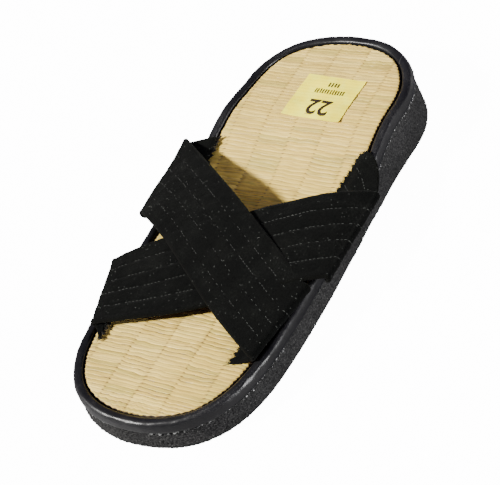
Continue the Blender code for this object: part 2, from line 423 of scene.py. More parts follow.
velvetLook = {
    "plain": {
        "Specular IOR Level": 0.05, "Sheen Weight": 0.02, "Sheen Roughness": 0.5,
        "Sheen Tint": (0.95, 0.97, 0.90, 1.0),
    },
    "deep": (0.0003, 0.0004, 0.0003), "pileTip": (0.0026, 0.0029, 0.0024), "rubbed": (0.0045, 0.0047, 0.0040),
    "dust": (0.026, 0.028, 0.024), "fleck": (0.060, 0.064, 0.058), "hem": (0.0035, 0.003, 0.002),
    "pile": ((1500.0, 1500.0, 1500.0), 4.0, 0.75), "pileBand": (0.35, 0.7),
    "wear": (55.0, 3.0, 0.6), "wearBand": (0.5, 0.75, 0.0, 0.45), "dusting": {"Size": 85.0, "Amount": 0.35},
    "fleckScale": 700.0, "fleckSize": (0.10, 0.24, 1.0, 0.0), "fleckChoice": (0.76, 0.98), "fleckShare": 0.75,
    "hemShare": 0.4, "rough": (0.3, 0.7, 0.85, 1.0), "depth": 0.0003, "strength": 0.9,
}


def makeVelvet():
    look = velvetLook
    material, tree, shader, place = startMaterial("blackVelvet", look["plain"])
    pile = stretchedNoise(place, *look["pile"])
    cells = addNode(tree, "ShaderNodeTexVoronoi", feature="F1")
    feed(place, cells, "Vector")
    feed(look["fleckScale"], cells, "Scale")
    chosen = addNode(tree, "ShaderNodeSeparateColor")
    feed(cells.outputs["Color"], chosen, 0)
    fleck = spread(cells.outputs["Distance"], *look["fleckSize"])
    fleck = times(fleck, spread(chosen.outputs[0], *look["fleckChoice"]))
    base = mixColour(spread(pile, *look["pileBand"]), look["deep"], look["pileTip"])
    for mask, colour in (
        (spread(noise(place, *look["wear"]), *look["wearBand"]), "rubbed"),
        (useGroup(tree, dustGroup, **look["dusting"])["Mask"], "dust"),
        (times(fleck, look["fleckShare"]), "fleck"),
        (times(marked(tree, "hem"), look["hemShare"]), "hem"),
    ):
        base = mixColour(mask, base, look[colour])
    setFinish(shader, base, None, spread(pile, *look["rough"]), pile, look["depth"], look["strength"])
    return material


foilLook = {
    "plain": {"Specular IOR Level": 0.2, "Coat Roughness": 0.3},
    "gold": (1.0, 0.84, 0.03), "pale": (1.0, 0.92, 0.07), "scuff": (0.97, 0.90, 0.30), "scuffing": 0.4,
    "crinkle": (210.0, 3.0, 0.5), "crinkleBand": (0.35, 0.7), "fine": ((300.0, 2600.0, 500.0), 2.0, 0.5),
    "fineShare": 0.3, "drift": (48.0, 0.80, 1.06), "rough": (0.3, 0.7, 0.34, 0.48), "depth": 0.00016,
}


def makeFoil():
    look = foilLook
    material, tree, shader, place = startMaterial("goldLabel", look["plain"])
    crinkle = noise(place, *look["crinkle"])
    fine = stretchedNoise(place, *look["fine"])
    base = mixColour(spread(crinkle, *look["crinkleBand"]), look["gold"], look["pale"])
    base = mixColour(useGroup(tree, scuffGroup, Amount=look["scuffing"])["Mask"], base, look["scuff"])
    height = calc("ADD", crinkle, times(fine, look["fineShare"]))
    setFinish(shader, base, look["drift"], spread(fine, *look["rough"]), height, look["depth"])
    return material


# dark and light tone, grain size, roughness range and relief of the small finishes
plainLooks = {
    "paleThread": ((0.014, 0.015, 0.013), (0.046, 0.050, 0.043), 2500.0, (0.7, 0.9), 0.00004),
    "looseLint": ((0.04, 0.042, 0.038), (0.14, 0.145, 0.13), 1800.0, (0.8, 1.0), 0.00003),
    "frayedEdge": ((0.003, 0.0025, 0.0012), (0.020, 0.014, 0.005), 900.0, (0.8, 1.0), 0.00003),
    "brownInk": ((0.012, 0.006, 0.001), (0.024, 0.013, 0.003), 700.0, (0.4, 0.6), 0.00002),
    "driedGlue": ((0.05, 0.05, 0.05), (0.20, 0.20, 0.195), 600.0, (0.12, 0.3), 0.00005),
}
plainGrain = (3.0, 0.6)
plainBand = (0.35, 0.65)
plainRoughBand = (0.3, 0.7)


def makePlainFinish(name):
    dark, light, scale, rough, depth = plainLooks[name]
    material, _, shader, place = startMaterial(name, {})
    grain = noise(place, scale, *plainGrain)
    base = mixColour(spread(grain, *plainBand), dark, light)
    setFinish(shader, base, None, spread(grain, *plainRoughBand, *rough), grain, depth)
    return material


rushMaterial, vinylMaterial, spongeMaterial = makeRush(), makeVinyl(), makeSponge()
velvetMaterial, foilMaterial = makeVelvet(), makeFoil()
plainMaterials = {name: makePlainFinish(name) for name in plainLooks}
print("materials made")


# the last, as the model has it, in millimetres
last = {
    "halfLength": 110.0, "ballHalfWidth": 43.8,
    "waistNarrowing": 2.4, "waistPlace": (58.0, 30.0),
    "waistSwing": -1.6, "waistSwingPlace": (18.0, 28.0),
    "heelSwing": 1.8, "heelSwingPlace": (78.0, 16.0),
    "endSquareness": 6.0, "endRoundness": 0.455,
    "forefootHeight": 14.6, "heelRise": 10.2, "riseRange": (17.0, 67.5),
    "toeSpring": 0.8, "springStart": -80.0, "springReach": 35.4,
    "insoleThickness": 4.6, "gap": 0.3,
}


def deckHeight(y):
    return last["forefootHeight"] + last["heelRise"] * smoothStep(y, *last["riseRange"])


def groundHeight(y):
    reach = np.maximum(last["springStart"] - y, 0.0) / last["springReach"]
    return last["toeSpring"] * reach * reach


def halfWidth(y):
    reach = np.minimum(np.abs(y) / last["halfLength"], 1.0)
    full = last["ballHalfWidth"] - last["waistNarrowing"] * hill(y, *last["waistPlace"])
    return full * (1.0 - reach ** last["endSquareness"]) ** last["endRoundness"]


def swing(y):
    waist = last["waistSwing"] * hill(y, *last["waistSwingPlace"])
    return waist + last["heelSwing"] * hill(y, *last["heelSwingPlace"])


def outline(offset, count):
    # points round the last: toe, right side, heel, left side; offset is one value or one for each point
    angle = turn * np.arange(count) / count
    y = -last["halfLength"] * np.cos(angle)
    side = np.sign(np.sin(angle))
    side[0] = side[count // 2] = 0.0
    base = np.stack([swing(y) + side * halfWidth(y), y], axis=1)
    along = unit(np.roll(base, -1, axis=0) - np.roll(base, 1, axis=0))
    normal = np.stack([along[:, 1], -along[:, 0]], axis=1)
    return base + np.broadcast_to(offset, count)[:, None] * normal


# the insole is a woven rush mat; relief, wobble and the like are pairs of height and width of their bumps
mat = {
    "ribPitch": 2.0, "rowsPerRib": 8, "columns": 98, "ribHeight": 0.40, "sink": 0.34, "sharp": 80.0,
    "spareRibs": 8, "firstColumn": 20.0, "seed": 11,
    "endRows": (0.012, 0.20, 15), "slope": -0.030, "slopeFade": 4,
    "wobble": ((0.10, 38.0), (0.07, 9.0)), "wobbleSeed": 23,
    "relief": ((0.16, 7.0), (0.25, 38.0)), "reliefSeed": 21,
    "ribRoundness": 4.6, "stemHeight": (0.82, 1.12), "stemKinds": 48,
    "columnShift": 0.16, "shiftReach": 1.1, "warpSpacing": 16.4, "warpShift": 3.0, "warpWidth": 0.85,
    "warpPinch": 0.55, "warpFill": 0.5,
    "blockLength": 10.0, "blockDepth": 0.16, "blockSharpness": 2.6, "blockTone": 0.14, "blockFill": 0.5,
    "edgeCut": 0.42, "cutRange": (0.1, 1.1), "cutFade": 20.0, "leastHalf": 0.2, "stemLength": 0.12,
    "scallop": 0.46, "sideScallop": 0.35, "endScallop": 0.5, "endPitch": 3.4, "endSway": (1.7, 5.0),
    "endZone": (98.0, 109.0), "edgeDrop": 0.42, "dropReach": 1.2, "endDrop": 2.0, "steepest": 400.0,
    # lightness of the stems, green ones among them, painted shade at the waist where the key light falls too
    # bright on the slope, and darker parts beside the toes
    "toneShares": (0.45, 0.55), "greenShare": 0.12, "greenTone": -0.55, "greenStep": 7,
    "waistPaintedShade": (0.55, 40.0, 26.0), "toeTone": (0.75, (30.0, 20.0), (-86.0, 26.0)),
    "valleyBlock": (0.775, 0.225), "valleyGrade": (0.66, 0.50, -70.0, 60.0), "cutEdgeShadeWidth": 0.35,
    "wallDepths": (0.9, 2.4, 4.6), "wallMarks": {"stemToneAndShade": 0.3, "valley": 0.6, "cutEdgeAndShade": 1.0, "warp": 0.0},
}


def matRows():
    # even rows along the foot, with finer ones where the outline closes
    ends = last["halfLength"] * np.cos(np.linspace(*mat["endRows"]))
    step = mat["ribPitch"] / mat["rowsPerRib"]
    reach = math.floor((ends[-1] - step) / step) * step
    middle = np.arange(-reach, reach + step / 2, step)
    return np.concatenate([-ends, middle, ends[::-1]])


def matPlan(draw, ribCount):
    # where the points of the mat lie seen from above, with its edge cut stem by stem
    v, s = np.meshgrid(matRows(), np.linspace(-1.0, 1.0, mat["columns"]), indexing="ij")
    fade = 1.0 - (np.abs(v) / last["halfLength"]) ** mat["slopeFade"]
    y = v + mat["slope"] * (s * halfWidth(v)) * fade
    half = halfWidth(y)
    beat = (v + last["halfLength"]) / mat["ribPitch"]
    longer = draw.uniform(-1.0, 1.0, (2, ribCount))
    stem = np.clip(beat.astype(int) + 2, 0, ribCount - 1)
    cut = mat["edgeCut"] + mat["scallop"] * (0.5 - mat["sideScallop"] * np.cos(turn * beat))
    cut = cut + mat["stemLength"] * np.where(s > 0, longer[0][stem], longer[1][stem])
    width = half - np.clip(cut, *mat["cutRange"]) * smoothStep(half, 0.0, mat["cutFade"])
    x = swing(y) + s * np.maximum(width, mat["leastHalf"])
    # at toe and heel the cut runs across the ends of the stems
    sway, swayWidth = mat["endSway"]
    wave = np.cos(turn * x / mat["endPitch"] + sway * np.sin(x / swayWidth))
    bite = mat["edgeCut"] + mat["scallop"] * (0.5 - mat["endScallop"] * wave)
    return v, s, half, beat, x, y - np.sign(y) * smoothStep(np.abs(y), *mat["endZone"]) * bite


def matEdge(s, half, y):
    # distance from the cut edge of the mat
    near = 0.01
    lean = (halfWidth(y + near) - halfWidth(y - near)) / (2 * near)
    toSide = (1.0 - np.abs(s)) * half / np.sqrt(1.0 + np.minimum((s * lean) ** 2, mat["steepest"]))
    return np.minimum(toSide, np.maximum(last["halfLength"] - np.abs(y), 0.0) * mat["endDrop"])


def makeInsole():
    draw = np.random.default_rng(mat["seed"])
    ribCount = int(2 * last["halfLength"] / mat["ribPitch"]) + mat["spareRibs"]
    v, s, half, beat, x, y = matPlan(draw, ribCount)
    # columns of the weave between the warp threads; the stems step sideways from one to the next
    place = (x + mat["warpShift"]) / mat["warpSpacing"] + mat["firstColumn"]
    column = np.floor(place).astype(int)
    toLine = np.minimum(place - column, column + 1 - place) * mat["warpSpacing"]
    nearest = np.round(place).astype(int)
    offset = (place - nearest) * mat["warpSpacing"]
    before, after = (nearest - 1) % 2, nearest % 2
    step = smoothStep(offset, -mat["shiftReach"], mat["shiftReach"])
    shift = mat["columnShift"] * (before + (after - before) * step)
    flat = np.stack([x, y, np.zeros_like(x)], axis=-1)
    phase = beat + shift + bumps(flat, mat["wobbleSeed"], mat["wobble"])
    rib = np.floor(phase).astype(int)
    rounded = 1.0 - np.abs(2.0 * (phase - rib) - 1.0) ** mat["ribRoundness"]
    kinds = mat["stemKinds"]
    table = draw.uniform(0.0, 1.0, (ribCount + 4, kinds))
    heights = draw.uniform(*mat["stemHeight"], (ribCount + 4, kinds))
    rib = np.clip(rib, 0, ribCount + 3)
    blockSide = np.tanh(mat["blockSharpness"] * np.sin(math.pi * (v / mat["blockLength"] + column)))
    block = 1.0 - mat["blockDepth"] * (1.0 - blockSide)
    pinch = hill(toLine, 0.0, mat["warpWidth"])
    whole, own = mat["toneShares"]
    tone = whole * table[rib, 0] + own * table[rib, column % kinds]
    green = table[rib, (column + mat["greenStep"]) % kinds] < mat["greenShare"]
    tone = np.where(green, mat["greenTone"], tone) - mat["blockTone"] * blockSide
    # painted shade at the waist, against the brighter light on its slope; beside the toes the stems are only
    # made darker
    darker, *waist = mat["waistPaintedShade"]
    beside, toeX, toeY = mat["toeTone"]
    tone = tone - darker * hill(y, *waist) - beside * hill(x, *toeX) * hill(y, *toeY)
    relief = rounded * heights[rib, column % kinds] * block * (1.0 - mat["warpPinch"] * pinch)
    relief = relief + (1.0 - block) * mat["blockFill"] + bumps(flat, mat["reliefSeed"], mat["relief"])
    # the cut edge turns down a little all round
    toEdge = matEdge(s, half, y)
    drop = mat["edgeDrop"] * (1.0 - smoothStep(toEdge, 0.0, mat["dropReach"])) ** 2
    z = deckHeight(y) - mat["sink"] + mat["ribHeight"] * relief - drop
    level, swung = mat["valleyBlock"]
    valley = np.clip(1.0 - rounded * (1.0 - mat["warpFill"] * pinch), 0.0, 1.0) * (level + swung * blockSide)
    rear, gain, *grade = mat["valleyGrade"]
    valley = valley * (rear + gain * smoothStep(-y, *grade))
    points = np.stack([x, y, z], axis=-1)
    index = indexGrid(points)
    faces = gridFaces(index)
    top = points.reshape(-1, 3)
    previous = ring = rimOf(index)
    parts = [top]
    for depth in mat["wallDepths"]:
        lower = top[ring].copy()
        lower[:, 2] = deckHeight(lower[:, 1]) - depth
        current = len(top) + len(ring) * (len(parts) - 1) + np.arange(len(ring))
        faces += gridFaces(np.stack([previous, current]), wrap=True)
        parts.append(lower)
        previous = current
    # flat underside: strips straight across, and one face at each end
    rows, columns = index.shape
    right = previous[columns - 1:columns - 1 + rows]
    left = np.roll(previous[::-1], 1)[:rows]
    heel = previous[columns + rows - 2:2 * columns + rows - 2]
    faces.append([*previous[:columns][::-1].tolist(), int(left[1]), int(right[1])])
    faces += gridFaces(np.stack([right[1:-1], left[1:-1]], axis=1))
    faces.append([int(left[-2]), int(right[-2]), *heel.tolist()])
    values = {
        "stemToneAndShade": tone,
        "valley": valley,
        # dark cut edge and side wall, partly painted shade against the rim
        "cutEdgeAndShade": 1.0 - smoothStep(toEdge, 0.0, mat["cutEdgeShadeWidth"]),
        "warp": pinch * np.clip(1.0 - rounded, 0.0, 1.0),
    }
    points = np.concatenate(parts)
    marks = {}
    for name, field in values.items():
        onWall = np.full(len(points) - len(top), mat["wallMarks"][name])
        marks[name] = np.concatenate([field.ravel(), onWall])
    makePiece("rushInsole", points, faces, rushMaterial, ("insole",), marks, mat["sharp"])


makeInsole()

# the rim is soft vinyl binding rolled over the edge
# its section, part by part, is offset from the last and height over the insole
binding = {
    "count": 520, "wave": ((0.13, 26.0), (0.05, 5.5)), "seed": 31, "sharp": 70.0,
    "freeHeights": (-4.2, 0.6), "freeOffset": 1.6, "sideways": 0.6, "heightPace": 2.0,
    "innerWall": ((0.3, -4.6), (0.3, -3.0), (0.3, -1.4), (0.35, -0.5)),
    "slope": (
        (0.45, -0.1), (0.6, 0.2), (0.85, 0.48), (1.2, 0.72),
        (1.65, 0.92), (2.15, 1.07), (2.65, 1.16), (3.1, 1.19),
    ),
    "shoulder": (
        (3.5, 1.14), (3.85, 1.02), (4.15, 0.84), (4.42, 0.60),
        (4.64, 0.32), (4.82, 0.0), (4.96, -0.36), (5.08, -0.78),
    ),
    "outerWall": (
        (5.18, -1.3), (5.26, -1.9), (5.33, -2.5), (5.38, -3.1),
        (5.4, -3.7), (5.36, -4.15), (5.15, -4.45), (4.9, -4.6),
    ),
}


def makeRim():
    rings = []
    section = np.concatenate([binding[part] for part in ("innerWall", "slope", "shoulder", "outerWall")])
    for offset, height in section:
        flat = outline(offset, binding["count"])
        free = smoothStep(height, *binding["freeHeights"])
        free = free * smoothStep(offset, last["gap"], binding["freeOffset"])
        place = np.column_stack([flat, np.full(len(flat), height * binding["heightPace"])])
        soft = bumps(place, binding["seed"], binding["wave"])
        moved = outline(offset + binding["sideways"] * soft * free, binding["count"])
        rings.append(np.column_stack([moved, deckHeight(moved[:, 1]) + height + soft * free]))
    points = np.array(rings)
    index = indexGrid(points)
    faces = gridFaces(np.concatenate([index, index[:1]]), wrap=True)
    points = points.reshape(-1, 3)
    makePiece("vinylBinding", points, faces, vinylMaterial, ("rim",), None, binding["sharp"])


makeRim()

# the outsole is a sanded sponge wedge
wedge = {
    "count": 1040, "sideRows": 34, "sharp": 60.0,
    "side": 4.6, "groundEdge": 3.8, "flare": 1.5, "flareCurve": 1.3,
    # the edges: offset and depth under the top, then the height and the angles of the bend at the ground
    "topSteps": ((3.7, 0.0), (4.2, 0.05), (4.48, 0.3)), "sideStart": 0.8,
    "bendHeight": 1.9, "bendAngles": (18.0, 38.0, 58.0, 76.0, 90.0),
    "rough": ((0.11, 1.7), (0.077, 1.1), (0.16, 24.0)), "seed": 41, "mostRough": 0.35, "edgeRough": 0.25,
    "treadPitch": 5.0, "treadDepth": 0.45, "treadColumns": 38, "treadSway": (1.6, 17.0),
    "treadEdge": (0.25, 0.95), "treadMargin": (3.0, 6.0), "treadEnds": (60, 90),
}


def wedgeLevels(high, low):
    # offset from the last and height of each ring, from the top down
    levels = [(offset, high - depth) for offset, depth in wedge["topSteps"]]
    for share in np.linspace(0.0, 1.0, wedge["sideRows"]):
        start, end = high - wedge["sideStart"], low + wedge["bendHeight"]
        levels.append((wedge["side"], start * (1.0 - share) + end * share))
    for angle in wedge["bendAngles"]:
        bend = math.radians(angle)
        inward = (wedge["side"] - wedge["groundEdge"]) * (1.0 - math.cos(bend))
        levels.append((wedge["side"] - inward, low + wedge["bendHeight"] * (1.0 - math.sin(bend))))
    return levels


def grooves(spots, edges, fromEnd):
    # depth of the shallow wavy grooves in the underside
    sway, swayWidth = wedge["treadSway"]
    line = spots[:, 1] + sway * np.sin(turn * spots[:, 0] / swayWidth)
    groove = smoothStep(np.sin(turn * line / wedge["treadPitch"]), *wedge["treadEdge"]) * wedge["treadDepth"]
    toEdge = np.min([np.abs(spots[:, 0] - edge) for edge in edges], axis=0)
    return groove * smoothStep(toEdge, *wedge["treadMargin"]) * smoothStep(fromEnd, *wedge["treadEnds"])


def makeOutsole():
    count, half = wedge["count"], wedge["count"] // 2
    y = outline(0.0, count)[:, 1]
    high, low = deckHeight(y) - last["insoleThickness"] - last["gap"], groundHeight(y)
    levels = wedgeLevels(high, low)
    rings = []
    for row, (offset, height) in enumerate(levels):
        # the side leans out a little towards the ground
        down = np.clip((high - height) / (high - low), 0.0, 1.0)
        offset = offset + wedge["flare"] * down ** wedge["flareCurve"]
        place = np.column_stack([outline(offset, count), height])
        rough = np.clip(bumps(place, wedge["seed"], wedge["rough"]), -wedge["mostRough"], wedge["mostRough"])
        free = 1.0 if 2 < row < len(levels) - 2 else wedge["edgeRough"]
        rings.append(np.column_stack([outline(offset + rough * free, count), height]))
    points = [np.concatenate(rings)]
    index = np.arange(len(points[0])).reshape(len(levels), count)
    faces = gridFaces(index, wrap=True)
    # flat top, hidden under the insole
    ring = index[0]
    faces.append([int(ring[0]), int(ring[1]), int(ring[-1])])
    faces += gridFaces(np.stack([ring[1:half], ring[:half:-1]], axis=1))
    faces.append([int(ring[half - 1]), int(ring[half]), int(ring[half + 1])])
    # underside
    ring, base, total = index[-1], rings[-1], len(points[0])
    share = np.linspace(0.0, 1.0, wedge["treadColumns"] + 1)
    grid = np.zeros((half - 1, len(share)), int)
    for i in range(1, half):
        right, left = base[i], base[count - i]
        spots = right + (left - right) * share[1:-1, None]
        spots[:, 2] = groundHeight(spots[:, 1]) + grooves(spots, (right[0], left[0]), min(i, half - i))
        points.append(spots)
        grid[i - 1] = [ring[i], *range(total, total + len(spots)), ring[count - i]]
        total += len(spots)
    faces += gridFaces(grid)
    for j in range(wedge["treadColumns"]):
        faces.append([int(ring[0]), int(grid[0, j]), int(grid[0, j + 1])])
        faces.append([int(ring[half]), int(grid[-1, j + 1]), int(grid[-1, j])])
    points, sharp = np.concatenate(points), wedge["sharp"]
    makePiece("spongeWedge", points, faces, spongeMaterial, ("outsole",), None, sharp)


makeOutsole()

# the upper is two crossed velvet bands
# each end: crease corners (x, y, height over the insole) and raw end corners, rear then front
# creases are soft folds: start and end (share of length, share of width), width and height
overBand = {
    "firstCrease": ((-56.1, 38.0, 4.9), (-56.1, -8.5, 4.9)), "firstEnd": ((-40.0, 43.0), (-42.5, -4.0)),
    "secondCrease": ((50.0, -33.0, 6.2), (43.2, -74.0, 4.9)), "secondEnd": ((37.0, -35.5), (32.6, -77.0)),
    "fullness": (2.2, 4.0), "bow": 0.5, "sway": 1.2, "lift": 1.45, "press": 0.34, "settle": 0.12,
    "blunt": (0.0, 0.0), "tabBow": (0.0, 0.0), "foldBulge": 1.1, "sunkStitches": 0.50, "seed": 51,
    "creases": (
        ((0.17, 0.10), (0.30, 0.30), 3.2, 0.50), ((0.17, 0.55), (0.34, 0.62), 3.6, -0.38),
        ((0.18, 0.80), (0.33, 0.92), 3.0, 0.42), ((0.84, 0.25), (0.70, 0.40), 2.6, 0.42),
        ((0.84, 0.45), (0.66, 0.52), 2.4, -0.42), ((0.84, 0.68), (0.70, 0.66), 2.4, 0.40),
        ((0.45, 0.05), (0.62, 0.20), 4.5, 0.35), ((0.36, 0.45), (0.60, 0.80), 5.0, 0.32),
        ((0.82, 0.88), (0.70, 0.84), 2.6, -0.30),
    ),
}
underBand = {
    "firstCrease": ((-53.0, -36.5, 4.9), (-42.0, -73.0, 4.9)), "firstEnd": ((-38.5, -44.0), (-36.0, -78.6)),
    "secondCrease": ((56.1, 23.0, 4.9), (56.1, -28.0, 4.9)), "secondEnd": ((39.0, 46.2), (28.2, -2.0)),
    "fullness": (6.0, 4.0), "bow": 5.0, "sway": 0.0, "lift": 0.0, "press": 0.0, "settle": 0.0,
    "blunt": (0.0, 4.6), "tabBow": (0.0, 3.6), "foldBulge": 0.0, "sunkStitches": 0.25, "seed": 52,
    "creases": (
        ((0.16, 0.22), (0.30, 0.20), 3.0, 0.42), ((0.16, 0.50), (0.28, 0.46), 3.0, -0.36),
        ((0.16, 0.76), (0.30, 0.80), 3.4, 0.36), ((0.84, 0.20), (0.66, 0.16), 3.2, 0.42),
        ((0.84, 0.42), (0.70, 0.38), 2.8, -0.36), ((0.84, 0.66), (0.68, 0.62), 3.0, 0.36),
        ((0.06, 0.30), (0.14, 0.40), 2.6, -0.30), ((0.94, 0.30), (0.86, 0.22), 2.6, 0.30),
        ((0.95, 0.62), (0.86, 0.58), 2.6, -0.25),
    ),
}
cloth = {
    "halfThickness": 0.9, "rawHalfThickness": 0.55, "rawStations": 9.0,
    "nominalWidth": 39.5, "edgeRadius": 0.95, "sharp": 75.0, "farSeed": 5,
    "rimRest": 2.4, "insoleRest": 1.2, "rimStep": (-5.0, 0.5),
    "ridgeFront": 5.4, "ridgeRear": 12.4, "ridgeFrontY": -62.0,
    "topStations": 168, "foldStations": 15, "returnStations": 30, "returnCrowding": 1.35,
    "hemSteps": (0.0, 0.08, 0.25, 0.5, 0.8, 1.15), "middleStart": 1.6, "middleSteps": 80,
    "rows": (8.3, 15.6, 22.8, 30.6), "channelDepth": 0.30, "channelWidth": 0.62, "underChannel": 0.5,
    "puff": 0.14, "puffRoundness": 0.6, "flatFolds": (3.0, 22.0), "hemRise": 0.16, "hemStep": (1.9, 2.9),
    "toothPitch": 3.2, "toothHeight": 0.90, "toothUneven": 0.3, "toothKinds": 40,
    "bluntShare": 0.13, "bluntCurve": 1.4, "tabBowGain": 2.6, "tabBowFade": 1.5,
    "foldBulgeWay": (-0.9, 0.0, 0.6),
    # heights and widths of the bumps in the pile and in the whole band
    "pile": ((0.035, 2.2), (0.05, 7.0)), "soft": ((0.30, 30.0),), "pressEdge": 1.6, "topZone": (0.19, 0.30),
    "underFold": 0.06, "creaseGain": 0.8, "creaseLength": 150.0, "creaseEnds": 0.35, "creaseStart": 0.2,
    "hemShade": 0.55, "hemShadeReach": (0.2, 1.5), "endShadeStations": 5.0,
}


def acrossShares():
    # finer steps at both hems, and columns that fall on the stitched rows
    width = cloth["nominalWidth"]
    edge = np.array(cloth["hemSteps"]) / width
    start = cloth["middleStart"] / width
    middle = np.linspace(start, 1.0 - start, cloth["middleSteps"])
    for row in cloth["rows"]:
        middle[np.argmin(np.abs(middle - row / width))] = row / width
    return np.concatenate([edge, middle, 1.0 - edge[::-1]])


def restHeight(x, y):
    # the turned-under end lies on the insole and steps up over the rim
    step = smoothStep(np.abs(x - swing(y)) - halfWidth(y), *cloth["rimStep"])
    return deckHeight(y) + cloth["insoleRest"] + (cloth["rimRest"] - cloth["insoleRest"]) * step


def foldShape(crease):
    # which way a fold looks, and its radius
    return np.sign(crease[:, 0]), (crease[:, 2] - cloth["rimRest"]) / 2


def returnRun(end, crease, shares, seed, blunt, bow):
    outward, radius = foldShape(crease)
    foot = np.stack([crease[:, 0] - outward * radius, crease[:, 1]], axis=1)
    reach = unit(foot - end)
    wide = shares * np.linalg.norm(crease[-1, :2] - crease[0, :2])
    draw = np.random.default_rng(seed)
    beat = wide / cloth["toothPitch"] + draw.uniform(0.0, 1.0)
    tooth = np.abs(2.0 * (beat - np.floor(beat)) - 1.0) * 2.0 - 1.0
    kinds, most = cloth["toothKinds"], cloth["toothUneven"]
    uneven = draw.uniform(-most, most, kinds)[np.floor(beat).astype(int) % kinds]
    end = end - reach * ((tooth + uneven) * cloth["toothHeight"])[:, None]
    # the rear corner of a tab can be cut blunt
    corner = (1.0 - np.clip(shares / cloth["bluntShare"], 0.0, 1.0)) ** cloth["bluntCurve"]
    end = end + reach * (blunt * corner)[:, None]
    # the rear hem of a loose tab swings out
    aside = np.array([-reach[0, 1], reach[0, 0]]) * np.sign(reach[0, 0])
    swell = bow * cloth["tabBowGain"] * (1.0 - shares) ** cloth["tabBowFade"]
    run = []
    for i in range(cloth["returnStations"]):
        share = (i / cloth["returnStations"]) ** cloth["returnCrowding"]
        flat = end + (foot - end) * share + aside * (swell * math.sqrt(share) * (1.0 - share))[:, None]
        run.append(np.column_stack([flat, restHeight(flat[:, 0], flat[:, 1])]))
    return run


def foldRun(crease):
    outward, radius = foldShape(crease)
    middle = deckHeight(crease[:, 1]) + cloth["rimRest"] + radius
    run = []
    for bend in np.linspace(-math.pi / 2, math.pi / 2, cloth["foldStations"]):
        x = crease[:, 0] - outward * radius * (1.0 - math.cos(bend))
        run.append(np.column_stack([x, crease[:, 1], middle + radius * math.sin(bend)]))
    return run


def ridgeHeight(y):
    share = np.clip((y - cloth["ridgeFrontY"]) / -cloth["ridgeFrontY"], 0.0, 1.0)
    return cloth["ridgeFront"] + (cloth["ridgeRear"] - cloth["ridgeFront"]) * share


def topRun(start, end, band, shares):
    near, far = start[:, :2].copy(), end[:, :2].copy()
    for side, crease in ((near, start), (far, end)):
        outward, radius = foldShape(crease)
        side[:, 0] -= outward * radius
    run = []
    for i in range(1, cloth["topStations"]):
        share = i / cloth["topStations"]
        flat = near + (far - near) * share
        y = flat[:, 1] - shares * band["bow"] * math.sin(math.pi * share)
        y = y + shares * band["sway"] * math.sin(turn * share)
        side = start[:, 2] + (end[:, 2] - start[:, 2]) * share
        arch = 1.0 - abs(2.0 * share - 1.0) ** band["fullness"][0 if share < 0.5 else 1]
        height = deckHeight(y) + side + (ridgeHeight(y) + band["lift"] - side) * arch
        run.append(np.column_stack([flat[:, 0], y, height]))
    return run


def bandSheet(band, shares):
    # middle surface of a band as stations by shares of its width
    ends = {}
    for key in ("firstCrease", "firstEnd", "secondCrease", "secondEnd"):
        rear, front = np.array(band[key])
        ends[key] = rear + (front - rear) * shares[:, None]
    bulge = band["foldBulge"] * np.sin(math.pi * shares)
    first = ends["firstCrease"] + bulge[:, None] * cloth["foldBulgeWay"]
    second = ends["secondCrease"]
    sheet = returnRun(ends["firstEnd"], first, shares, band["seed"], band["blunt"][0], band["tabBow"][0])
    sheet += foldRun(first)
    sheet += topRun(first, second, band, shares)
    sheet += foldRun(second)[::-1]
    seed = band["seed"] + cloth["farSeed"]
    back = returnRun(ends["secondEnd"], second, shares, seed, band["blunt"][1], band["tabBow"][1])
    return np.array(sheet + back[::-1])


def sheetNormals(sheet):
    normal = unit(np.cross(np.gradient(sheet, axis=0), np.gradient(sheet, axis=1)))
    middle = normal[normal.shape[0] // 2, normal.shape[1] // 2]
    return normal if middle[2] > 0 else -normal


def pressedOver(x, y):
    # how far a place on the over band lies above the band beneath it, from 0 to 1
    firstRear, firstFront = underBand["firstCrease"]
    secondRear, secondFront = underBand["secondCrease"]
    along = np.clip((x - firstRear[0]) / (secondRear[0] - firstRear[0]), 0.0, 1.0)
    rearY = firstRear[1] + (secondRear[1] - firstRear[1]) * along
    frontY = firstFront[1] + (secondFront[1] - firstFront[1]) * along
    frontY = frontY - underBand["bow"] * np.sin(math.pi * along)
    edge = cloth["pressEdge"]
    return (1.0 - smoothStep(y - rearY, -edge, edge)) * smoothStep(y - frontY, -edge, edge)


def creaseRelief(band, alongShare, shares):
    size = np.array([cloth["creaseLength"], cloth["nominalWidth"]])
    s, w = alongShare[:, None] * size[0], shares[None, :] * size[1]
    base, late = cloth["creaseEnds"], cloth["creaseStart"]
    total = 0.0
    for start, end, wide, height in band["creases"]:
        a = start * size
        reach = end * size - a
        t = np.clip(((s - a[0]) * reach[0] + (w - a[1]) * reach[1]) / (reach @ reach), 0.0, 1.0)
        away = np.hypot(s - a[0] - t * reach[0], w - a[1] - t * reach[1])
        strength = base + (1.0 - base) * np.sin(math.pi * (late + (1.0 - late) * t))
        total += height * hill(away, 0.0, wide) * strength
    return total


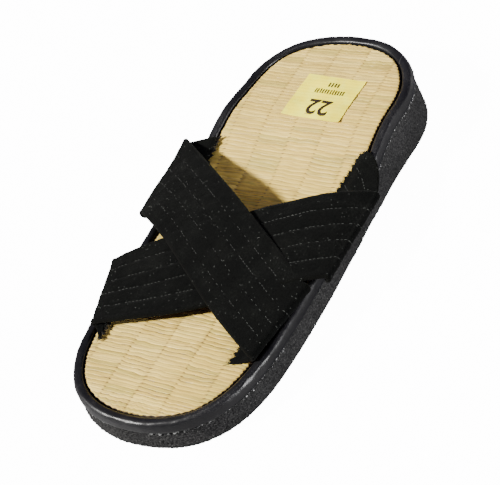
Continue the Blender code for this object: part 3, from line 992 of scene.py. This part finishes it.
def makeBand(name, band):
    shares = acrossShares()
    sheet = bandSheet(band, shares)
    stations = len(sheet)
    normal = sheetNormals(sheet)
    alongShare = np.arange(stations) / (stations - 1)
    onTop = smoothStep(alongShare, *cloth["topZone"]) * smoothStep(1.0 - alongShare, *cloth["topZone"])
    # the cloth itself moves a little before it gets its thickness
    soft = creaseRelief(band, alongShare, shares) * cloth["creaseGain"]
    soft = soft + bumps(sheet, band["seed"] + 1, cloth["soft"])
    soft = soft + band["press"] * pressedOver(sheet[..., 0], sheet[..., 1]) - band["settle"]
    moving = cloth["underFold"] + (1.0 - cloth["underFold"]) * onTop[:, None]
    sheet = sheet + normal * (soft * moving)[..., None]
    normal = sheetNormals(sheet)
    wide = shares * cloth["nominalWidth"]
    toHem = np.minimum(wide, cloth["nominalWidth"] - wide)
    rounding = np.sqrt(1.0 - (1.0 - np.clip(toHem / cloth["edgeRadius"], 0.0, 1.0)) ** 2)
    fromEnd = np.minimum(np.arange(stations), stations - 1 - np.arange(stations))
    thicker = cloth["halfThickness"] - cloth["rawHalfThickness"]
    body = cloth["rawHalfThickness"] + thicker * smoothStep(fromEnd / cloth["rawStations"], 0.0, 1.0)[:, None]
    hem = cloth["hemRise"] * (1.0 - smoothStep(toHem, *cloth["hemStep"]))
    channel = cloth["channelDepth"] * sum(hill(wide, row, cloth["channelWidth"]) for row in cloth["rows"])
    lanes = (0.0, *cloth["rows"], cloth["nominalWidth"])
    inside = [np.clip((wide - a) / (b - a), 0.0, 1.0) for a, b in zip(lanes, lanes[1:])]
    puff = cloth["puff"] * np.max(np.sin(math.pi * np.array(inside)) ** cloth["puffRoundness"], axis=0)
    # the rows flatten out where the band folds over
    fold = cloth["returnStations"] + cloth["foldStations"] / 2
    rows = smoothStep(np.abs(fromEnd - fold), *cloth["flatFolds"])[:, None]
    upper = body + hem + rows * (puff - channel) + bumps(sheet, band["seed"] + 2, cloth["pile"])
    lower = body - cloth["underChannel"] * channel
    top = sheet + normal * (upper * rounding)[..., None]
    under = sheet - normal * (lower * rounding)[..., None]
    topIndex = indexGrid(top)
    underIndex = topIndex.copy()
    underIndex[:, 1:-1] = indexGrid(under[:, 1:-1], topIndex.size)
    faces = gridFaces(topIndex) + [quad[::-1] for quad in gridFaces(underIndex)]
    for end in (0, stations - 1):
        a, b = topIndex[end], underIndex[end]
        for j in range(len(shares) - 1):
            faces.append([int(c) for c in dict.fromkeys((a[j], a[j + 1], b[j + 1], b[j]))])
    hemMark = cloth["hemShade"] * (1.0 - smoothStep(toHem, *cloth["hemShadeReach"]))[None, :]
    hemMark = np.maximum(hemMark, (1.0 - smoothStep(fromEnd, 0.0, cloth["endShadeStations"]))[:, None])
    marks = {"hem": np.concatenate([hemMark.ravel(), hemMark[:, 1:-1].ravel()])}
    points = np.concatenate([top.reshape(-1, 3), under[:, 1:-1].reshape(-1, 3)])
    makePiece(name, points, faces, velvetMaterial, ("upper",), marks, cloth["sharp"])
    return {"top": top, "under": under, "normal": normal, "shares": shares, "hidden": band["sunkStitches"]}


grids = (makeBand("overBand", overBand), makeBand("underBand", underBand))

# rises, and shares of the thread's radius, at five places along a stitch
sewing = {
    "stitch": 1.75, "gapShare": 0.20, "stitchLength": (0.85, 1.1), "drift": 0.04, "thread": 0.12, "sides": 6,
    "rises": (-0.13, 0.05, 0.08, 0.05, -0.13), "taper": (0.55, 1.0, 1.0, 1.0, 0.55), "sunk": 0.22, "seed": 61,
    "endMargin": 3, "foldMargin": 2,
}


def sampled(spots, length, line):
    # the points of a line at some lengths along it
    return np.stack([np.interp(spots, length, axis) for axis in line.T], axis=1)


def sewRow(line, normal, hidden, draw, items):
    # dashes along a stitched row, some of them sunk in the pile
    steps = np.linalg.norm(np.diff(line, axis=0), axis=1)
    length = np.concatenate([[0.0], np.cumsum(steps)])
    start = draw.uniform(0.0, 1.0)
    while start + sewing["stitch"] < length[-1]:
        end = start + sewing["stitch"] * (1.0 - sewing["gapShare"]) * draw.uniform(*sewing["stitchLength"])
        spots = np.linspace(start, end, len(sewing["rises"]))
        path, lift = sampled(spots, length, line), sampled(spots, length, normal)
        sunk = sewing["sunk"] if draw.uniform(0.0, 1.0) < hidden else 0.0
        rise = np.array(sewing["rises"]) - sunk
        path = path + lift * rise[:, None] + draw.normal(0.0, sewing["drift"], (1, 3))
        items.append((path, sewing["thread"] * np.array(sewing["taper"])))
        start += sewing["stitch"]


def makeStitches():
    draw = np.random.default_rng(sewing["seed"])
    items = []
    turned, margin = cloth["returnStations"], sewing["endMargin"]
    inside = turned + sewing["foldMargin"]
    runs = (("top", 1, turned, -turned), ("under", -1, margin, inside), ("under", -1, -inside, -margin))
    for grid in grids:
        for row in cloth["rows"]:
            column = int(np.argmin(np.abs(grid["shares"] - row / cloth["nominalWidth"])))
            for face, way, low, high in runs:
                line, normal = grid[face][low:high, column], way * grid["normal"][low:high, column]
                sewRow(line, normal, grid["hidden"], draw, items)
    points, faces = joinTubes(items, sewing["sides"])
    makePiece("bandStitches", points, faces, plainMaterials["paleThread"])


makeStitches()

# spreads of a heading are along x, y and z
loose = {
    "fringePerEnd": 760, "fringeLength": (0.5, 1.6), "fringeRadius": 0.085, "fringeSizes": (0.7, 1.3),
    "fringeBack": 0.5, "fringeHeight": (-0.2, 0.45), "fringeUp": 0.6,
    "fringeHeading": (0.55, (1.0, 1.0, 0.35)), "fringeBend": (0.35, (1.0, 1.0, 0.3)),
    "lintPerBand": 70, "lintLength": (0.25, 1.1), "lintLengthCurve": 1.3, "lintRadius": 0.06,
    "lintSizes": (0.6, 1.5), "lintRise": 0.07, "lintBend": 0.45, "lintMargin": (4, 6),
    "taper": (1.0, 0.9, 0.7, 0.3), "endDepth": 4, "seed": 71,
}


def strand(start, heading, length, bendBy, radius):
    share = np.linspace(0.0, 1.0, len(loose["taper"]))[:, None]
    path = start + heading * length * share + bendBy * length * share ** 2
    return path, radius * np.array(loose["taper"])


def makeFringe():
    draw = np.random.default_rng(loose["seed"])
    items = []
    (turning, turningWay), (bending, bendingWay) = loose["fringeHeading"], loose["fringeBend"]
    for grid in grids:
        middles = (grid["top"] + grid["under"]) / 2
        for end, inner in ((0, loose["endDepth"]), (-1, -1 - loose["endDepth"])):
            middle = middles[end]
            outward = unit(middle - middles[inner])
            for _ in range(loose["fringePerEnd"]):
                j = int(draw.integers(0, len(middle)))
                back = draw.uniform(0.0, loose["fringeBack"])
                start = middle[j] - outward[j] * back + (0.0, 0.0, draw.uniform(*loose["fringeHeight"]))
                heading = outward[j] + draw.normal(0.0, turning, 3) * turningWay
                heading[2] = abs(heading[2]) * loose["fringeUp"]
                heading = unit(heading)
                bendBy = draw.normal(0.0, bending, 3) * bendingWay
                length = draw.uniform(*loose["fringeLength"])
                radius = loose["fringeRadius"] * draw.uniform(*loose["fringeSizes"])
                items.append(strand(start, heading, length, bendBy, radius))
    points, faces = joinTubes(items, 3)
    makePiece("frayedEnds", points, faces, plainMaterials["frayedEdge"])


def makeLint():
    draw = np.random.default_rng(loose["seed"] + 1)
    items = []
    ends, hems = loose["lintMargin"]
    for grid in grids:
        low, high = cloth["returnStations"] + ends, len(grid["top"]) - cloth["returnStations"] - ends
        for _ in range(loose["lintPerBand"]):
            i, j = int(draw.integers(low, high)), int(draw.integers(hems, len(grid["shares"]) - hems))
            normal = grid["normal"][i, j]
            start = grid["top"][i, j] + normal * loose["lintRise"]
            heading = draw.normal(0.0, 1.0, 3)
            heading = unit(heading - normal * (heading @ normal))
            bendBy = np.cross(normal, heading) * draw.normal(0.0, loose["lintBend"])
            length = draw.uniform(*loose["lintLength"]) ** loose["lintLengthCurve"]
            radius = loose["lintRadius"] * draw.uniform(*loose["lintSizes"])
            items.append(strand(start, heading, length, bendBy, radius))
    points, faces = joinTubes(items, 4)
    makePiece("lintFlecks", points, faces, plainMaterials["looseLint"])


makeFringe()
makeLint()

# each run of specks: start and end as shares of the way round from the toe, and their number
glue = {
    "runs": (
        (0.02, 0.075, 34), (0.085, 0.16, 30), (0.28, 0.47, 95), (0.20, 0.24, 8),
        (0.55, 0.62, 8), (0.80, 0.86, 7), (0.95, 0.985, 8),
    ),
    "seamOffset": 4.95, "seamCount": 2000, "seamDrop": 0.15, "seamSpread": 0.28, "size": (0.18, 0.55),
    "stretch": (0.6, 1.4), "lumps": ((0.25, 4.0),), "lumpPace": 3.0, "lumpPlaces": 50,
    "lumpSeed": 82, "seed": 81,
}


def roundBall():
    ball = bmesh.new()
    bmesh.ops.create_icosphere(ball, subdivisions=2, radius=1.0)
    points = np.array([v.co[:] for v in ball.verts])
    faces = np.array([[v.index for v in f.verts] for f in ball.faces])
    ball.free()
    return points, faces


def makeGlue():
    # small dried specks in the seam under the rim, more of them in a few runs
    draw = np.random.default_rng(glue["seed"])
    count = glue["seamCount"]
    line = outline(glue["seamOffset"], count)
    ball, ballFaces = roundBall()
    points, faces = [], []
    for low, high, specks in glue["runs"]:
        for _ in range(specks):
            x, y = line[int(draw.uniform(low, high) * count) % count]
            seam = deckHeight(y) - last["insoleThickness"] - glue["seamDrop"]
            middle = np.array([x, y, seam + draw.normal(0.0, glue["seamSpread"])])
            place = ball * glue["lumpPace"] + draw.uniform(0, glue["lumpPlaces"], 3)
            shape = ball * (1.0 + bumps(place, glue["lumpSeed"], glue["lumps"]))[:, None]
            size = draw.uniform(*glue["size"])
            faces += (ballFaces + len(ball) * len(points)).tolist()
            points.append(middle + shape * size * draw.uniform(*glue["stretch"], 3))
    makePiece("glueSpecks", np.concatenate(points), faces, plainMaterials["driedGlue"])


makeGlue()

# the label on the heel
sticker = {
    "centre": (4.6, 72.15), "size": (32.6, 27.2), "turned": -4.0, "rise": 0.27, "thickness": 0.10,
    "columns": 66, "rows": 56, "ribs": 0.035, "soft": ((0.05, 9.0),), "seed": 91,
    "cornerLift": 0.2, "looseCornerLift": 0.5, "cornerSharpness": 8, "sharp": 60.0,
}


def onSticker(u, v):
    # label place, from its middle, to the sole; u runs to +X and v to the heel
    bend = math.radians(sticker["turned"])
    x = sticker["centre"][0] + u * math.cos(bend) - v * math.sin(bend)
    y = sticker["centre"][1] + u * math.sin(bend) + v * math.cos(bend)
    return x, y


def stickerHeight(x, y, u, v):
    flat = np.stack([x, y, np.zeros_like(x)], axis=-1)
    ribs = sticker["ribs"] * np.cos(turn * (y - mat["slope"] * x) / mat["ribPitch"])
    wide, long = sticker["size"]
    corner = (np.abs(4.0 * u * v) / (wide * long)) ** sticker["cornerSharpness"]
    lifted = corner * (sticker["looseCornerLift"] * ((u > 0) & (v < 0)) + sticker["cornerLift"])
    return deckHeight(y) + sticker["rise"] + ribs + bumps(flat, sticker["seed"], sticker["soft"]) + lifted


def makeSticker():
    u = np.linspace(-0.5, 0.5, sticker["columns"]) * sticker["size"][0]
    v = np.linspace(-0.5, 0.5, sticker["rows"]) * sticker["size"][1]
    v, u = np.meshgrid(v, u, indexing="ij")
    x, y = onSticker(u, v)
    height = stickerHeight(x, y, u, v)
    top = np.stack([x, y, height], axis=-1)
    under = np.stack([x, y, height - sticker["thickness"]], axis=-1)
    index = indexGrid(top)
    faces = gridFaces(index) + [quad[::-1] for quad in gridFaces(index + u.size)]
    ring = rimOf(index)
    faces += gridFaces(np.stack([ring, ring + u.size]), wrap=True)
    points = np.concatenate([top.reshape(-1, 3), under.reshape(-1, 3)])
    makePiece("sizeLabel", points, faces, foilMaterial, (), None, sticker["sharp"])


makeSticker()

# each row of marks: its place along the foot, its width and height, and how many marks
printing = {
    "words": "22", "size": 13.0, "bold": 0.20, "lean": -0.05, "place": (0.85, -6.2), "curveSteps": 8,
    "rows": ((3.8, 17.2, 3.1, 12), (8.2, 6.8, 2.9, 4)), "markStart": 0.15, "markWidth": (0.378, 0.546),
    "markHeight": (0.8, 1.0), "longestEdge": 1.2, "ink": 0.085, "inkFoot": 0.01, "sharp": 40.0, "seed": 95,
}


def numberShape():
    words = bpy.data.curves.new("sizeNumber", "FONT")
    words.body = printing["words"]
    words.size = printing["size"]
    words.shear = printing["lean"]
    words.align_x, words.align_y = "CENTER", "CENTER"
    words.offset = printing["bold"]
    words.resolution_u = printing["curveSteps"]
    holder = bpy.data.objects.new("sizeNumber", words)
    bpy.context.scene.collection.objects.link(holder)
    bpy.context.view_layer.update()
    flat = bpy.data.meshes.new_from_object(holder)
    bpy.data.objects.remove(holder)
    shape = bmesh.new()
    shape.from_mesh(flat)
    return shape


def makePrint():
    # a size number and two rows of plain marks; their top is towards the toe
    shape = numberShape()
    draw = np.random.default_rng(printing["seed"])
    for v, wide, tall, count in printing["rows"]:
        step = wide / count
        middle = printing["place"][1] - v
        for k in range(count):
            left = -wide / 2 + k * step + draw.uniform(0.0, printing["markStart"])
            right = left + step * draw.uniform(*printing["markWidth"])
            low = -tall / 2 * draw.uniform(*printing["markHeight"])
            high = tall / 2 * draw.uniform(*printing["markHeight"])
            lean = printing["lean"] * (high - low)
            corners = [(left, low), (right, low), (right + lean, high), (left + lean, high)]
            shape.faces.new([shape.verts.new((a, middle + b, 0.0)) for a, b in corners])
    bmesh.ops.triangulate(shape, faces=shape.faces)
    longer = [e for e in shape.edges if e.calc_length() > printing["longestEdge"]]
    bmesh.ops.subdivide_edges(shape, edges=longer, cuts=2, use_grid_fill=True)
    bmesh.ops.triangulate(shape, faces=shape.faces)
    made = bmesh.ops.extrude_face_region(shape, geom=shape.faces[:] + shape.edges[:] + shape.verts[:])
    upper = {v for v in made["geom"] if isinstance(v, bmesh.types.BMVert)}
    for vert in shape.verts:
        # turned half round, so that the wearer reads it
        u, v = (np.array([middle - spot]) for middle, spot in zip(printing["place"], vert.co.xy))
        x, y = onSticker(u, v)
        height = stickerHeight(x, y, u, v) + (printing["ink"] if vert in upper else printing["inkFoot"])
        vert.co = Vector((x[0], y[0], height[0]))
    shape.verts.index_update()
    points = np.array([v.co[:] for v in shape.verts])
    faces = [[v.index for v in f.verts] for f in shape.faces]
    shape.free()
    ink = plainMaterials["brownInk"]
    makePiece("labelPrint", points, faces, ink, (), None, printing["sharp"])


makePrint()

# floor, light and camera, in metres; each lamp has its place, its size and its power
studio = {
    "floorSize": 14.0, "floorCells": 12, "floorColours": ((0.34, 0.34, 0.34), (0.36, 0.36, 0.36)),
    "floorPlain": {"Roughness": 0.8, "Specular IOR Level": 0.2},
    "floorMottle": (6.0, 2.0), "floorGlow": 14.0, "unseen": (0.0, 0.0, 0.0), "seen": (1.0, 1.0, 1.0),
    "sky": (0.95, 0.80, 1.55, 1.0), "skyStrength": 0.11,
    "sunFrom": (-0.75, -0.66, 0.78), "sunStrength": 10.9, "sunAngle": 6.5, "sunColour": (1.0, 0.985, 0.95),
    "lampTarget": (0.0, 0.0, 0.01),
    "lamps": {"softBox": ((0.06, 0.02, 1.10), 0.16, 1.4), "sideFill": ((1.22, 0.02, 0.15), 0.35, 26.0)},
}


def makeFloor():
    shape = bmesh.new()
    cells = studio["floorCells"]
    bmesh.ops.create_grid(shape, x_segments=cells, y_segments=cells, size=studio["floorSize"] / 2)
    mesh = bpy.data.meshes.new("floor")
    shape.to_mesh(mesh)
    shape.free()
    floor = bpy.data.objects.new("floor", mesh)
    bpy.context.scene.collection.objects.link(floor)
    material, tree, shader, place = startMaterial("paleFloor", studio["floorPlain"])
    tone = noise(place, *studio["floorMottle"])
    feed(mixColour(tone, *studio["floorColours"]), shader, "Base Color")
    # the floor reads white to the eye without lighting the sandal from below
    seen = addNode(tree, "ShaderNodeLightPath").outputs["Is Camera Ray"]
    feed(mixColour(seen, studio["unseen"], studio["seen"]), shader, "Emission Color")
    shader.inputs["Emission Strength"].default_value = studio["floorGlow"]
    mesh.materials.append(material)


def addLamp(name, kind, place, target, **settings):
    data = bpy.data.lights.new(name, kind)
    for key, value in settings.items():
        setattr(data, key, value)
    lamp = bpy.data.objects.new(name, data)
    lamp.location = Vector(place)
    lamp.rotation_mode = "QUATERNION"
    lamp.rotation_quaternion = (Vector(target) - lamp.location).to_track_quat("-Z", "Y")
    bpy.context.scene.collection.objects.link(lamp)


def makeLights():
    angle = math.radians(studio["sunAngle"])
    middle = (0.0, 0.0, 0.0)
    strength, colour = studio["sunStrength"], studio["sunColour"]
    addLamp("keyLight", "SUN", studio["sunFrom"], middle, energy=strength, angle=angle, color=colour)
    for name, (place, size, power) in studio["lamps"].items():
        addLamp(name, "AREA", place, studio["lampTarget"], size=size, energy=power)
    world = bpy.data.worlds.new("paleStudio")
    world.use_nodes = True
    back = world.node_tree.nodes["Background"]
    back.inputs["Color"].default_value = studio["sky"]
    back.inputs["Strength"].default_value = studio["skyStrength"]
    bpy.context.scene.world = world


# angles in degrees; the pan puts the one shoe in the middle
shot = {
    "place": (0.3974, -0.3717, 0.4714), "azimuth": 44.68, "elevation": 41.62, "roll": -24.68, "pan": 2.26,
    "lens": 114.2, "sensor": 36.0, "clip": (0.01, 20.0),
}


def turnedPair(first, second, angle):
    # two square directions turned within their plane
    c, s = math.cos(angle), math.sin(angle)
    return first * c + second * s, second * c - first * s


def makeCamera():
    angles = ("azimuth", "elevation", "roll", "pan")
    azimuth, elevation, roll, pan = (math.radians(shot[key]) for key in angles)
    flat = math.cos(elevation)
    back = Vector((math.sin(azimuth) * flat, -math.cos(azimuth) * flat, math.sin(elevation)))
    right = Vector((0.0, 0.0, 1.0)).cross(back).normalized()
    right, up = turnedPair(right, back.cross(right), roll)
    right, back = turnedPair(right, back, -pan)
    data = bpy.data.cameras.new("camera")
    data.lens = shot["lens"]
    data.sensor_width = shot["sensor"]
    data.clip_start, data.clip_end = shot["clip"]
    camera = bpy.data.objects.new("camera", data)
    rotation = Matrix((right, up, back)).transposed().to_4x4()
    camera.matrix_world = Matrix.Translation(shot["place"]) @ rotation
    bpy.context.scene.collection.objects.link(camera)
    bpy.context.scene.camera = camera


makeFloor()
makeLights()
makeCamera()
print("floor, lights and camera made")
